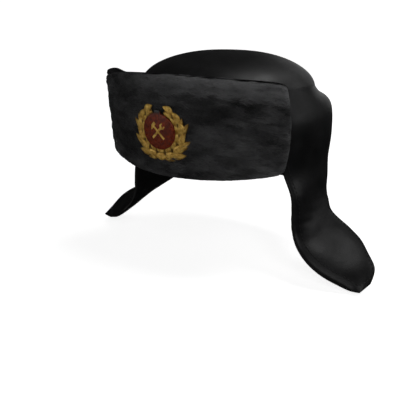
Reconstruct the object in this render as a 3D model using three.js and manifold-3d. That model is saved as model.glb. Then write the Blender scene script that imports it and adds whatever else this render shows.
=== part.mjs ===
// Winter hat: a leather dome, a padded skirt that runs down into two flared ear flaps,
// a turned-up fur visor, and a wreath badge held through the visor by a post and a flat nut.
// Millimetres. +Z is up, -Y is the front of the hat and +X is the wearer's left.
// The origin is the middle of the head opening, level with the lower rim of the crown.

import * as THREE from 'three';
import { mergeVertices } from 'three/addons/utils/BufferGeometryUtils.js';
import Module from 'manifold-3d';

const wasm = await Module();
wasm.setup();

// Driving dimensions
const GAP = 0.3; // air between neighbouring pieces
const OVAL = 2.5; // exponent of the plan ovals, where 2 is a plain ellipse

const HEAD = { halfWidth: 91, halfLength: 88.5 }; // the hollow that the head fills

const CROWN = {
  wall: 3,
  taperZ: 44, // the upright wall starts to draw in here
  domeZ: 70, // the dome starts here
  topZ: 107.8,
  domeHalfWidth: 91.5,
  domeHalfLength: 88.5,
  domeY: -3, // the dome sits a little forward of the head opening
  topY: -6, // and leans forward to its top
  fullness: 2.08, // exponent of the dome's upright section, where 2 is a plain ellipse
};

const SKIRT = {
  halfWidth: 103.8,
  halfLength: 99.3,
  frontY: -48, // where its two front edges stand
  ridgeZ: 54, // the shoulder's outer ridge
  creaseZ: 64.5, // where the shoulder meets the dome
  backZ: -45, // lower edge behind
  sideZ: 0, // lower edge over the flaps, which run on below it
  edge: 4, // rounding of its free edges
};

const VISOR = {
  arc: THREE.MathUtils.degToRad(40.4), // half the angle that it spans
  bulge: 0.03, // how much its ends swell outward at half height
  radius: 173, // of its front face, level with the rim
  flare: 0.035, // growth of that radius for each millimetre of height
  frontY: -104.6, // of its front face, level with the rim
  lean: 0.078, // the top leans forward
  thickness: 12,
  endThickness: 16, // the padding swells towards its free ends
  topZ: 89.6,
  topDrop: 7.2, // how much lower the top edge is at its ends
  backRise: 7, // how much higher the back of the top edge is at its ends
  lowZ: -6.8,
  lowRise: 6.8, // how much higher the lower edge is at its ends
  topCorner: 4,
  lowCorner: 10,
  edge: 4,
  lockWide: 16, // one lock of the clipped fur
  lockHigh: 11,
  lockDeep: 1,
};

const BADGE = {
  z: 37.5,
  discHalfWidth: 19.2,
  discHalfHeight: 17.2,
  tabHalfWidth: 3.6,
  tabHeight: 3,
  plate: 1.2,
  enamel: 1.3,
  relief: 1.4, // the emblem and the leaves stand this far above the plate
  postRadius: 1.6,
  postHole: 1.9,
  nutRadius: 8,
  nutThickness: 2,
};

const { clamp, lerp, smoothstep, degToRad } = THREE.MathUtils;

const finish = (color, roughness, metalness) =>
  new THREE.MeshStandardMaterial({ color, roughness, metalness });

const leather = () => finish(0x151515, 0.45, 0);
const fur = () => finish(0x242526, 0.95, 0);
const gilt = () => finish(0x9a7a34, 0.4, 0.9);
const redEnamel = () => finish(0x4a130c, 0.25, 0);
const steel = () => finish(0x6d6a63, 0.5, 0.9);

// Solids from rings of points

// A closed skin through rings of equal count. Each end is closed by a fan to its middle.
function skinOfRings(rings) {
  const count = rings[0].length;
  const middle = (ring) => ring.reduce((sum, p) => sum.add(p), new THREE.Vector3()).divideScalar(count);
  const points = [...rings.flat(), middle(rings[0]), middle(rings.at(-1))];
  const firstEnd = rings.length * count;
  const faces = [];
  for (let row = 0; row < rings.length - 1; row++) {
    for (let i = 0; i < count; i++) {
      const next = (i + 1) % count;
      const a = row * count + i;
      const b = row * count + next;
      faces.push(a, b, b + count, a, b + count, a + count);
    }
  }
  const last = (rings.length - 1) * count;
  for (let i = 0; i < count; i++) {
    const next = (i + 1) % count;
    faces.push(firstEnd, next, i);
    faces.push(firstEnd + 1, last + i, last + next);
  }
  const geometry = new THREE.BufferGeometry().setFromPoints(points);
  geometry.setIndex(faces);
  return geometry;
}

// Merged vertices and outward faces, so that the geometry can be joined, cut or exported
function tidy(geometry) {
  geometry.deleteAttribute('normal');
  geometry.deleteAttribute('uv');
  const merged = mergeVertices(geometry, 1e-4);
  const p = merged.attributes.position;
  const kept = [];
  let volume = 0;
  for (let i = 0; i < merged.index.count; i += 3) {
    const [a, b, c] = [0, 1, 2].map((k) => merged.index.getX(i + k));
    if (a === b || b === c || c === a) continue;
    kept.push(a, b, c);
    const [va, vb, vc] = [a, b, c].map((k) => new THREE.Vector3().fromBufferAttribute(p, k));
    volume += va.dot(vb.cross(vc));
  }
  if (volume < 0) kept.reverse();
  merged.setIndex(kept);
  return merged;
}

function toSolid(geometry) {
  const clean = tidy(geometry);
  return new wasm.Manifold(new wasm.Mesh({
    numProp: 3,
    vertProperties: new Float32Array(clean.attributes.position.array),
    triVerts: new Uint32Array(clean.index.array),
  }));
}

function toGeometry(solid) {
  const mesh = solid.getMesh();
  const geometry = new THREE.BufferGeometry();
  geometry.setAttribute('position', new THREE.BufferAttribute(new Float32Array(mesh.vertProperties), 3));
  geometry.setIndex(new THREE.BufferAttribute(new Uint32Array(mesh.triVerts), 1));
  return geometry;
}

const joinAll = (geometries) => geometries.map(toSolid).reduce((sum, solid) => sum.add(solid));

function piece(name, geometry, material) {
  const mesh = new THREE.Mesh(tidy(geometry), material);
  mesh.geometry.computeVertexNormals();
  mesh.name = name;
  return mesh;
}

// Plan ovals

// A point of an oval at an angle: |x/a|^n + |(y-y0)/b|^n = 1
function ovalPoint({ a, b, y, n }, angle, z) {
  const bend = (value) => Math.sign(value) * Math.abs(value) ** (2 / n);
  return new THREE.Vector3(a * bend(Math.cos(angle)), y + b * bend(Math.sin(angle)), z);
}

const mixOval = (p, q, t) => ({
  a: lerp(p.a, q.a, t),
  b: lerp(p.b, q.b, t),
  y: lerp(p.y, q.y, t),
  n: lerp(p.n, q.n, t),
});

// The crown's outer oval at height z, up to where the dome starts
function crownOval(z, inset = 0) {
  const t = smoothstep(z, CROWN.taperZ, CROWN.domeZ);
  return {
    a: lerp(HEAD.halfWidth + CROWN.wall, CROWN.domeHalfWidth, t) - inset,
    b: lerp(HEAD.halfLength + CROWN.wall, CROWN.domeHalfLength, t) - inset,
    y: CROWN.domeY * t,
    n: lerp(OVAL, 2, t),
  };
}

// Crown: an open-bottomed leather shell

// The skirt's inner face shares these angles and heights, so that the gap between them holds
const SIDES = 56;
const sideAngle = (i) => (i / SIDES) * 2 * Math.PI;
const TAPER_HEIGHTS = [CROWN.taperZ, 49, 54, 59, SKIRT.creaseZ];
const WALL_MIDDLE = CROWN.taperZ / 2;

const OUTSIDE = { inset: 0, heights: [0, WALL_MIDDLE, ...TAPER_HEIGHTS, CROWN.domeZ], domeRows: 8 };
const INSIDE = { inset: CROWN.wall, heights: [0, CROWN.taperZ, 54, CROWN.domeZ], domeRows: 6 };

// Rings from the rim to the top point, with the wall drawn in by inset
function crownRings({ inset, heights, domeRows }) {
  const ring = (oval, z) => Array.from({ length: SIDES }, (_, i) => ovalPoint(oval, sideAngle(i), z));
  const wall = heights.map((z) => ring(crownOval(z, inset), z));
  const dome = [];
  for (let row = 1; row <= domeRows; row++) {
    const rise = (row / domeRows) * (Math.PI / 2);
    const oval = crownOval(CROWN.domeZ, inset);
    const share = row < domeRows ? Math.cos(rise) ** (2 / CROWN.fullness) : 0;
    const z = CROWN.domeZ + (CROWN.topZ - CROWN.domeZ - inset) * Math.sin(rise) ** (2 / CROWN.fullness);
    const y = lerp(oval.y, CROWN.topY, Math.sin(rise));
    dome.push(ring({ ...oval, a: oval.a * share, b: oval.b * share, y }, z));
  }
  return [...wall, ...dome];
}

function makeCrown() {
  const rings = [...crownRings(INSIDE).reverse(), ...crownRings(OUTSIDE)];
  return piece('crown', skinOfRings(rings), leather());
}

// Skirt with ear flaps: a padded band round the sides and back, one solid with both flaps

// Share of full size at a distance from a free edge that is rounded to a half circle
const roundedEnd = (distance, radius) => {
  const t = clamp(1 - distance / radius, 0, 1);
  return Math.sqrt(1 - t * t);
};

const outerOval = () => ({ a: SKIRT.halfWidth, b: SKIRT.halfLength, y: 0, n: OVAL });
const innerOval = (z) => crownOval(clamp(z, 0, CROWN.domeZ), -GAP);

// A point of the skirt: across is 0 on the crown's side and 1 outside
const skirtPoint = (angle, across, z) =>
  ovalPoint(mixOval(innerOval(z), outerOval(), across), angle, z);

// The band's upright section, as pairs of across and height
function skirtSection(lowZ) {
  const section = [];
  const round = 4;
  for (let i = 0; i <= round; i++) {
    const turn = (i / round) * (Math.PI / 2);
    section.push([Math.sin(turn), SKIRT.ridgeZ + (SKIRT.creaseZ - SKIRT.ridgeZ) * Math.cos(turn)]);
  }
  for (const t of [0.3, 0.6, 0.85]) section.push([1, lerp(SKIRT.ridgeZ, lowZ + SKIRT.edge, t)]);
  for (let i = 0; i <= round; i++) {
    const turn = (i / round) * Math.PI;
    section.push([0.5 + 0.5 * Math.cos(turn), lowZ + SKIRT.edge * (1 - Math.sin(turn))]);
  }
  for (const z of [WALL_MIDDLE, ...TAPER_HEIGHTS.slice(0, -1)]) section.push([0, z]);
  return section;
}

function makeBand() {
  const reach = Math.asin(Math.abs(SKIRT.frontY / SKIRT.halfLength) ** (OVAL / 2));
  const span = Math.PI + 2 * reach;
  const edgeAngle = SKIRT.edge / SKIRT.halfWidth;
  const ends = [0.02, 0.3, 1].map((t) => t * edgeAngle);
  const inner = Array.from({ length: 2 * SIDES }, (_, i) => sideAngle(i - SIDES / 2) + reach)
    .filter((s) => s > 1.2 * edgeAngle && s < span - 1.2 * edgeAngle);
  const stations = [...ends, ...inner, ...ends.map((s) => span - s).reverse()];
  const rings = stations.map((s) => {
    const share = roundedEnd(Math.min(s, span - s), edgeAngle);
    const behind = smoothstep(Math.sin(s - reach), 0.1, 0.28);
    const lowZ = lerp(SKIRT.sideZ, SKIRT.backZ, behind);
    const middleZ = (SKIRT.creaseZ + lowZ) / 2;
    return skirtSection(lowZ).map(([across, z]) => {
      const shrink = SKIRT.edge * (1 - share);
      const nearZ = z - Math.sign(z - middleZ) * Math.min(shrink, Math.abs(z - middleZ));
      return skirtPoint(s - reach, 0.5 + (across - 0.5) * share, nearZ);
    });
  });
  return skinOfRings(rings);
}

// One row for each section of the flap, from inside the band down to the blunt tip.
// x and z are the middle of the section, front and back its edges in y, thick its depth,
// and tilt is how far its back edge is raised and its front edge lowered.
const FLAP_SECTIONS = [
  { x: 99.2, z: 10, front: -43, back: 39, thick: 8.7, tilt: 0 },
  { x: 99.3, z: 0, front: -43.5, back: 40, thick: 8.9, tilt: 0 },
  { x: 99.8, z: -12, front: -42.5, back: 40, thick: 9.6, tilt: -2 },
  { x: 101.2, z: -28, front: -41, back: 38, thick: 10.5, tilt: -4 },
  { x: 104.0, z: -42, front: -40, back: 34, thick: 12.0, tilt: -2 },
  { x: 109.0, z: -54, front: -40.5, back: 28, thick: 14.0, tilt: 3 },
  { x: 118.5, z: -65, front: -41.5, back: 21, thick: 16.0, tilt: 8.5 },
  { x: 131.5, z: -74, front: -41, back: 16.5, thick: 17.5, tilt: 11 },
  { x: 145.5, z: -83, front: -38, back: 13.5, thick: 18.0, tilt: 12 },
  { x: 159.0, z: -91.5, front: -34, back: 10.5, thick: 17.0, tilt: 10.5 },
  { x: 168.5, z: -98.5, front: -31, back: 4, thick: 14.0, tilt: 8 },
  { x: 173.5, z: -103.5, front: -28, back: -4, thick: 9.5, tilt: 5 },
];
const FLAP = { steps: 20, sides: 24, squareness: 3, rootSquareness: 7, flatFromZ: 5, flatToZ: -20 };

// How far the band's outside curves in from its widest at y
const bandCurve = (y) =>
  SKIRT.halfWidth * (1 - (1 - Math.abs(y / SKIRT.halfLength) ** OVAL) ** (1 / OVAL));

function makeFlap(side) {
  const through = (pick) => new THREE.CatmullRomCurve3(FLAP_SECTIONS.map(pick), false, 'catmullrom', 0.5);
  const middles = through((row) => new THREE.Vector3(row.x, row.tilt, row.z));
  const widths = through((row) => new THREE.Vector3(row.front, row.back, row.thick));
  const rings = [];
  for (let step = 0; step <= FLAP.steps; step++) {
    const t = step / FLAP.steps;
    const { x, y: tilt, z } = middles.getPoint(t);
    const { x: front, y: back, z: thick } = widths.getPoint(t);
    const along = middles.getPoint(Math.min(t + 0.02, 1)).sub(middles.getPoint(Math.max(t - 0.02, 0)));
    const outward = new THREE.Vector2(-along.z, along.x).normalize();
    const follow = smoothstep(z, FLAP.flatToZ, FLAP.flatFromZ);
    const power = 2 / lerp(FLAP.squareness, FLAP.rootSquareness, follow);
    const squared = (value) => Math.sign(value) * Math.abs(value) ** power;
    const ring = [];
    for (let i = 0; i < FLAP.sides; i++) {
      const angle = (i / FLAP.sides) * 2 * Math.PI;
      const across = -squared(Math.cos(angle));
      const y = lerp(front, back, 0.5 + 0.5 * across);
      const depth = (thick / 2) * squared(Math.sin(angle)) + tilt * across;
      const offset = x + outward.x * depth - bandCurve(y) * follow;
      ring.push(new THREE.Vector3(side * offset, y, z + outward.y * depth));
    }
    rings.push(ring);
  }
  return skinOfRings(rings);
}

function makeSkirt() {
  const solid = joinAll([makeBand(), makeFlap(1), makeFlap(-1)]);
  return piece('ear_neck_flap', toGeometry(solid), leather());
}

// Visor: a thick curved plate of clipped fur, turned up in front of the crown

// A point of the visor: depth is measured in from its front face
function visorPoint(angle, depth, z) {
  const radius = VISOR.radius + VISOR.flare * z;
  const front = VISOR.frontY - VISOR.lean * z;
  const reach = radius - depth;
  return new THREE.Vector3(reach * Math.sin(angle), front + radius - reach * Math.cos(angle), z);
}

// Depth of the valleys between the locks of fur, in staggered rows
function lockRelief(angle, z) {
  const row = Math.floor(z / VISOR.lockHigh);
  const fall = z / VISOR.lockHigh - row;
  const along = (VISOR.radius * angle) / VISOR.lockWide + (row % 2) / 2;
  const ridge = Math.abs(Math.cos(Math.PI * along)) * (1 - fall);
  return VISOR.lockDeep * (1 - ridge);
}

const VISOR_STEPS = 36;
const VISOR_ROWS = 16;

// The upright section at an angle, with its depth cut to a share of the full one near an end
function visorSection(angle, share, topZ, lowZ) {
  const off = angle / VISOR.arc;
  const middle = lerp(VISOR.thickness, VISOR.endThickness, off ** 4) / 2;
  const half = middle * share;
  const round = VISOR.edge;
  const front = middle - half;
  const section = [];
  const place = (depth, z) => {
    const height = clamp((z - lowZ) / (topZ - lowZ), 0, 1);
    return visorPoint(angle * (1 + VISOR.bulge * 4 * height * (1 - height)), depth, z);
  };
  for (let i = 0; i <= VISOR_ROWS; i++) {
    const z = lerp(lowZ + round, topZ - round, i / VISOR_ROWS);
    section.push(place(front + lockRelief(angle, z) * share, z));
  }
  for (const turn of [30, 60, 90, 120, 150, 180].map(degToRad)) {
    const rise = VISOR.backRise * off ** 4 * (0.5 - 0.5 * Math.cos(turn));
    const z = topZ - round + round * Math.sin(turn) + rise;
    section.push(place(middle - half * Math.cos(turn), z));
  }
  for (const t of [0.25, 0.5, 0.75]) {
    section.push(place(middle + half, lerp(topZ - round, lowZ + round, t)));
  }
  for (const turn of [180, 150, 120, 90, 60, 30].map(degToRad)) {
    section.push(place(middle - half * Math.cos(turn), lowZ + round - round * Math.sin(turn)));
  }
  return section;
}

function makeVisor() {
  const length = 2 * VISOR.arc * VISOR.radius;
  const endStations = [0.1, 1.2, 4, 9, VISOR.lowCorner];
  const middleSteps = VISOR_STEPS - 2 * endStations.length;
  const inner = Array.from({ length: middleSteps - 1 }, (_, i) =>
    lerp(VISOR.lowCorner, length - VISOR.lowCorner, (i + 1) / middleSteps));
  const stations = [...endStations, ...inner, ...endStations.map((s) => length - s).reverse()];
  const rings = stations.map((s) => {
    const fromEnd = Math.min(s, length - s);
    const off = (2 * s) / length - 1;
    const topZ = VISOR.topZ - VISOR.topDrop * off * off
      - VISOR.topCorner * (1 - roundedEnd(fromEnd, VISOR.topCorner));
    const lowZ = VISOR.lowZ + VISOR.lowRise * off * off
      + VISOR.lowCorner * (1 - roundedEnd(fromEnd, VISOR.lowCorner));
    return visorSection(off * VISOR.arc, roundedEnd(fromEnd, VISOR.edge), topZ, lowZ);
  });
  const post = badgeRod(BADGE.postHole, -VISOR.thickness - 4, 4);
  const solid = toSolid(skinOfRings(rings)).subtract(toSolid(post));
  return piece('front_visor', toGeometry(solid), fur());
}

// Badge: pressed gilt wreath and emblem on a curved back plate, with a red enamel field

// Bends flat badge geometry, drawn with x across, y up and z out, onto the visor's front
function bendOntoVisor(geometry) {
  const p = geometry.attributes.position;
  for (let i = 0; i < p.count; i++) {
    const height = BADGE.z + p.getY(i);
    const radius = VISOR.radius + VISOR.flare * height;
    const point = visorPoint(p.getX(i) / radius, -(GAP + p.getZ(i)), height);
    p.setXYZ(i, point.x, point.y, point.z);
  }
  return geometry;
}

// A straight rod square to the visor at the badge's middle, from and to measured out from its back
function badgeRod(radius, from, to) {
  const rod = new THREE.CylinderGeometry(radius, radius, to - from, 16);
  rod.translate(0, -(GAP + (from + to) / 2), 0);
  rod.rotateX(Math.atan(VISOR.lean));
  const face = visorPoint(0, 0, BADGE.z);
  rod.translate(face.x, face.y, face.z);
  return rod;
}

// A plate with the outline reach(angle) about its middle, in rings so that it bends smoothly
function roundPlate(reach, sides, rows, from, to) {
  const loop = (share, level) => Array.from({ length: sides }, (_, i) => {
    const angle = (i / sides) * 2 * Math.PI;
    const r = reach(angle) * share;
    return new THREE.Vector3(r * Math.cos(angle), r * Math.sin(angle), level);
  });
  const shares = Array.from({ length: rows }, (_, i) => (i + 1) / rows);
  return skinOfRings([...shares.map((s) => loop(s, from)), ...shares.reverse().map((s) => loop(s, to))]);
}

// Reach of the oval field, with a short tab at the top between the wreath's tips
function fieldReach(angle, grow) {
  const a = BADGE.discHalfWidth + grow;
  const b = BADGE.discHalfHeight + grow;
  const oval = (a * b) / Math.hypot(b * Math.cos(angle), a * Math.sin(angle));
  const tabTop = b + BADGE.tabHeight;
  const tabHalf = (BADGE.tabHalfWidth + grow) * Math.sin(angle);
  const inTab = Math.sin(angle) > 0 && Math.abs(Math.cos(angle)) * tabTop < tabHalf;
  return inTab ? tabTop / Math.sin(angle) : oval;
}

// Middle line of a branch of the wreath, from the foot at t = 0 to the tip at t = 1
const BRANCH = { footAngle: -90, tipAngle: 66, halfWidth: 25.5, halfHeight: 22.5, rise: 0.5 };
function branchPoint(side, t) {
  const angle = degToRad(lerp(BRANCH.footAngle, BRANCH.tipAngle, t));
  const y = BRANCH.rise + BRANCH.halfHeight * Math.sin(angle);
  return new THREE.Vector2(side * BRANCH.halfWidth * Math.cos(angle), y);
}

// One leaf: a pointed blade with a raised midrib
function leaf(x, y, heading, length, width, base, rib) {
  const outline = [[0, 0], [0.3, 0.42], [0.62, 0.5], [1, 0], [0.62, -0.5], [0.3, -0.42]];
  const place = ([u, v], level) => {
    const along = u * length;
    const off = v * width;
    return new THREE.Vector3(x + along * Math.cos(heading) - off * Math.sin(heading),
      y + along * Math.sin(heading) + off * Math.cos(heading), level);
  };
  const low = outline.map((p) => place(p, base));
  const high = outline.map((p) => place(p, base + 0.7));
  const ridge = [0.12, 0.3, 0.62, 0.88, 0.62, 0.3].map((u) => place([u, 0], base + 0.7 + rib));
  return skinOfRings([low, high, ridge]);
}

// Leaves on a branch: where, how far they turn off it at the foot and the tip, and their size
const LEAF_ROWS = [
  { footTurn: 26, tipTurn: 34, length: 13, width: 6, off: 2, first: 0.06, last: 0.62, count: 5 },
  { footTurn: 2, tipTurn: 22, length: 12.5, width: 7, off: 0, first: 0.02, last: 0.97, count: 6 },
];

function makeWreath() {
  const leaves = [];
  for (const side of [-1, 1]) {
    for (const row of LEAF_ROWS) {
      for (let i = 0; i < row.count; i++) {
        const t = lerp(row.first, row.last, i / (row.count - 1));
        const here = branchPoint(side, t);
        const step = branchPoint(side, t + 0.01).sub(branchPoint(side, t - 0.01));
        const turn = degToRad(lerp(row.footTurn, row.tipTurn, i / (row.count - 1)));
        const heading = Math.atan2(step.y, step.x) - side * turn;
        const outward = here.clone().normalize();
        const back = step.normalize().multiplyScalar(row.length / 2);
        const { x, y } = here.addScaledVector(outward, row.off).sub(back);
        leaves.push(leaf(x, y, heading, row.length, row.width, BADGE.plate - 0.5, BADGE.relief * 0.7));
      }
    }
  }
  return leaves;
}

// Back plate under the field and the branches, open between the tips
function plateReach(angle) {
  const field = fieldReach(angle, 1.2);
  const open = degToRad(90 - 68);
  const fromTop = Math.abs(Math.atan2(Math.cos(angle), Math.sin(angle)));
  if (fromTop < open) return field;
  const oval = (BRANCH.halfWidth * BRANCH.halfHeight)
    / Math.hypot(BRANCH.halfHeight * Math.cos(angle), BRANCH.halfWidth * Math.sin(angle));
  return oval + lerp(1, 3, smoothstep(fromTop, open, 2));
}

// The emblem: a plain hammer crossed with an open-ended spanner, drawn upright and then turned
const TOOL = { turn: degToRad(46), halfShank: 1, foot: -9.6, neck: 5.6, top: 9.4 };

// Outlines grown on all sides give the pocket in the enamel its clearance
function hammerOutline(grow) {
  const shank = TOOL.halfShank + grow;
  const [foot, low, high] = [TOOL.foot - grow, TOOL.neck + 0.4 - grow, TOOL.top + grow];
  const [face, peen, shoulder] = [3.6 + grow, 4.6 + grow, TOOL.neck + 1.6 + grow];
  const corners = [[-shank, foot], [shank, foot], [shank, low], [face, low], [face, high],
    [-1.2, high], [-peen, shoulder], [-peen, low], [-shank, low]];
  return new THREE.Shape(corners.map(([x, y]) => new THREE.Vector2(x, y)));
}

function spannerOutline(grow) {
  const shank = TOOL.halfShank + grow;
  const [foot, top, floor] = [TOOL.foot - grow, TOOL.top + grow, TOOL.neck + 1.6 + grow];
  const [wide, slot, neck] = [3 + grow, 1.2 - grow, TOOL.neck - 1.2];
  const half = [[shank, foot], [shank, neck], [wide, neck + 2],
    [wide - 0.4, top], [slot, top], [slot, floor]];
  const mirrored = half.map(([x, y]) => [-x, y]).reverse();
  return new THREE.Shape([...half, ...mirrored].map(([x, y]) => new THREE.Vector2(x, y)));
}

function makeEmblem(grow, from, to) {
  const raise = (shape, turn) => {
    const geometry = new THREE.ExtrudeGeometry(shape, { depth: to - from, bevelEnabled: false });
    geometry.translate(0, 0, from);
    geometry.rotateZ(turn);
    return geometry;
  };
  return [raise(hammerOutline(grow), TOOL.turn), raise(spannerOutline(grow), -TOOL.turn)];
}

function makeBadgeMetal() {
  const plate = roundPlate(plateReach, 40, 2, 0, BADGE.plate);
  const emblem = makeEmblem(0, BADGE.plate - 0.4, BADGE.plate + GAP + BADGE.relief);
  const bent = [plate, ...makeWreath(), ...emblem].map(bendOntoVisor);
  const post = badgeRod(BADGE.postRadius, -VISOR.thickness - 3, BADGE.plate / 2);
  return piece('badge_metal', toGeometry(joinAll([...bent, post])), gilt());
}

function makeBadgeEnamel() {
  const from = BADGE.plate + GAP;
  const plate = roundPlate((angle) => fieldReach(angle, 0), 40, 2, from, from + BADGE.enamel);
  const pocket = joinAll(makeEmblem(GAP, from - 1, from + BADGE.enamel + 1).map(bendOntoVisor));
  const field = toSolid(bendOntoVisor(plate)).subtract(pocket);
  return piece('badge_enamel', toGeometry(field), redEnamel());
}

function makeNut() {
  const from = -VISOR.thickness - 3 * GAP;
  const disc = toSolid(badgeRod(BADGE.nutRadius, from - BADGE.nutThickness, from));
  const bore = toSolid(badgeRod(BADGE.postHole, from - BADGE.nutThickness - 1, from + 1));
  return piece('badge_nut', toGeometry(disc.subtract(bore)), steel());
}

const hat = new THREE.Group();
hat.add(makeCrown(), makeSkirt(), makeVisor(), makeBadgeMetal(), makeBadgeEnamel(), makeNut());

export default hat;
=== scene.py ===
"""Winter hat with a domed leather crown, a turned-up fur visor, flared ear flaps and a wreath badge.

Sizes in the tables are millimetres in the hat's own frame: +Z up, -Y the front, +X the wearer's left.
"""

import math

import bmesh
import bpy
import numpy as np
from bpy.props import FloatProperty, FloatVectorProperty, IntProperty, PointerProperty
from mathutils import Matrix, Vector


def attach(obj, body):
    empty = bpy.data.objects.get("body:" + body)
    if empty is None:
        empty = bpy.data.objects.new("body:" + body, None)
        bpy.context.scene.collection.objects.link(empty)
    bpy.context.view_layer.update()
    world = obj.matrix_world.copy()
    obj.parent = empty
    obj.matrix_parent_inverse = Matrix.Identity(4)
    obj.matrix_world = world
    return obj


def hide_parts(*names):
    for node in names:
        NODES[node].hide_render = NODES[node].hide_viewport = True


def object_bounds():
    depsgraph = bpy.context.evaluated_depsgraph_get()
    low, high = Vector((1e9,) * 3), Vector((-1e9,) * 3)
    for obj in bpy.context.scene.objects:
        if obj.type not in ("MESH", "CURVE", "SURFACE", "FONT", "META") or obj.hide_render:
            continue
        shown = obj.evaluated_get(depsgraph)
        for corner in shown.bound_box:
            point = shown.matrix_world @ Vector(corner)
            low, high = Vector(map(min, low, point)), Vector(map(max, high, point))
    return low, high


bl_info = {
    "name": "Winter hat",
    "version": (1, 0, 0),
    "blender": (4, 5, 0),
    "location": "View3D > Sidebar > Hat",
    "description": "Builds a leather winter hat with a fur visor, ear flaps and a badge",
    "category": "Add Mesh",
}

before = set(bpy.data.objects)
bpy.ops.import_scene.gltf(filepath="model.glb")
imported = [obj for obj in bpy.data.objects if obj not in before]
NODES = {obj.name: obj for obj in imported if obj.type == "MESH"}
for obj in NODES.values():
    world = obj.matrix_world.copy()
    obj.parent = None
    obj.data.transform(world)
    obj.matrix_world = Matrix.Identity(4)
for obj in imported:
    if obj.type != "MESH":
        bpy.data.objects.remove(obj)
CAD_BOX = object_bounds()
MM = 0.001
TAU = 2 * math.pi
GAP = 0.3

CROWN = {
    "half_width": 94, "half_length": 91.5, "oval": 2.5, "wall": 3, "taper": 44, "dome": 70, "top": 107.8,
    "dome_half_width": 91.5, "dome_half_length": 88.5, "dome_y": -4, "top_y": -7, "fullness": 2.08,
}
SKIRT = {
    "half_width": 103.8, "half_length": 99.3, "oval": 2.5, "taper": 6.8, "taper_from": 28, "taper_to": -42,
    "inner_share": 0.2, "border_top": 43,
}
VISOR = {
    "arc": math.radians(40.2), "bulge": 0.036, "radius": 173, "flare": 0.035, "front": -104.6, "lean": 0.078,
    "thick": 12, "end_thick": 18, "edge": 4, "top": 89.6, "top_drop": 7.2, "top_corner": 4,
    "back_rise": (4.5, 1.2), "low": -6.8, "low_rise": 10.0, "low_corner": 9,
}
VISOR_LENGTH = 2 * VISOR["arc"] * VISOR["radius"]
BADGE = {
    "z": 37.5, "disc_half_width": 19.2, "disc_half_height": 17.2, "tab_half": 3.6, "tab_high": 3,
    "plate": 1.2, "enamel": 1.3, "emblem_top": 3.3, "opening": math.radians(22),
}
BRANCH = {"foot": -88, "tip": 70, "half_width": 24.6, "half_height": 22.2, "rise": 0.2}
PILE = {"lean": 3.4, "lean_high": 13, "end_lean": 1.8, "lock_step": (6.55, 4.75), "lock_spread": (4.2, 2.6)}
LEATHER = {"ripple": 0.14, "sag": 0.6, "seam": 0.06, "dome_wave": 0.9}

# Profile of the skirt's shoulder, from the crown down: share of the way out, height in front and behind
SHOULDER = np.array([
    (-0.26, 79.5, 75.6), (-0.1, 76.2, 74.2), (0.01, 72.6, 71.6), (0.11, 69.0, 68.6), (0.24, 64.8, 66.0),
    (0.4, 60.4, 64.1), (0.57, 55.6, 62.2), (0.77, 49.6, 58.8), (0.93, 43.6, 53.2),
])

# Sections of an ear flap from the shoulder to its blunt tip: x, z, front, back, thickness and tilt
FLAP_TABLE = np.array([
    (99.1, 36, -48.0, 40.0, 9.4, 0),
    (99.1, 25, -48.0, 40.0, 9.4, 0),
    (99.1, 13, -47.0, 40.0, 9.4, 0),
    (99.2, 0, -43.4, 40.0, 9.2, 0),
    (99.8, -12, -41.0, 37.5, 9.6, -2),
    (101.0, -28, -39.8, 33.4, 10.5, -4),
    (104.0, -42, -40.0, 29.6, 11.5, -2),
    (109.0, -54, -40.4, 26.5, 13.0, 3),
    (118.5, -65, -42.4, 23.0, 14.5, 8.5),
    (131.5, -74, -44.2, 19.6, 15.5, 11),
    (145.5, -83, -41.2, 15.4, 16.0, 12),
    (159.0, -91.5, -36.0, 6.8, 15.5, 10.5),
    (169.5, -99.0, -31.0, 1.4, 14.0, 8),
    (175.8, -104.0, -29.6, -12.5, 11.0, 2.0),
])
FLAP_LAST = len(FLAP_TABLE) - 1
CROTCH = 6.1  # the row of the table where the flap leaves the skirt's lower edge
FLAP_ROUND = 19  # reach of the rounding along a flap's edges
LIFT_RIGHT = 5.5  # how much higher the tip of the wearer's right flap sits


# Numbers

def lerp(a, b, t):
    """Straight mix: a at t = 0 and b at t = 1."""
    return a + (b - a) * t


def smooth(x, low, high):
    """Soft step from 0 below low to 1 above high: t * t * (3 - 2t)."""
    t = np.clip((x - low) / (high - low), 0, 1)
    return t * t * (3 - 2 * t)


def stack(x, y, z):
    """One array of points from three arrays of coordinates that broadcast together."""
    return np.stack(np.broadcast_arrays(x, y, z), axis=-1).astype(float)


def rounded(distance, radius):
    """Share of full size near an edge that is rounded to a half circle: sqrt(1 - t * t)."""
    t = np.clip(1 - distance / radius, 0, 1)
    return np.sqrt(1 - t * t)


def eased(count):
    """Steps from 0 to 1 that close up towards both ends: half of 1 - cos."""
    return 0.5 - 0.5 * np.cos(np.linspace(0, math.pi, count))


def round_turn(count):
    """Angles of even steps once round a circle."""
    return np.linspace(0, TAU, count, endpoint=False)


def soft_noise(u, v, seed, size=64):
    """Smooth noise from 0 to 1: random values on a square lattice, softly mixed between its points."""
    lattice = np.random.default_rng(seed).random((size, size))
    i, j = np.floor(u).astype(int), np.floor(v).astype(int)
    fu, fv = smooth(u - i, 0, 1), smooth(v - j, 0, 1)
    pick = lambda a, b: lattice[a % size, b % size]
    low = lerp(pick(i, j), pick(i + 1, j), fu)
    high = lerp(pick(i, j + 1), pick(i + 1, j + 1), fu)
    return lerp(low, high, fv)


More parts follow.
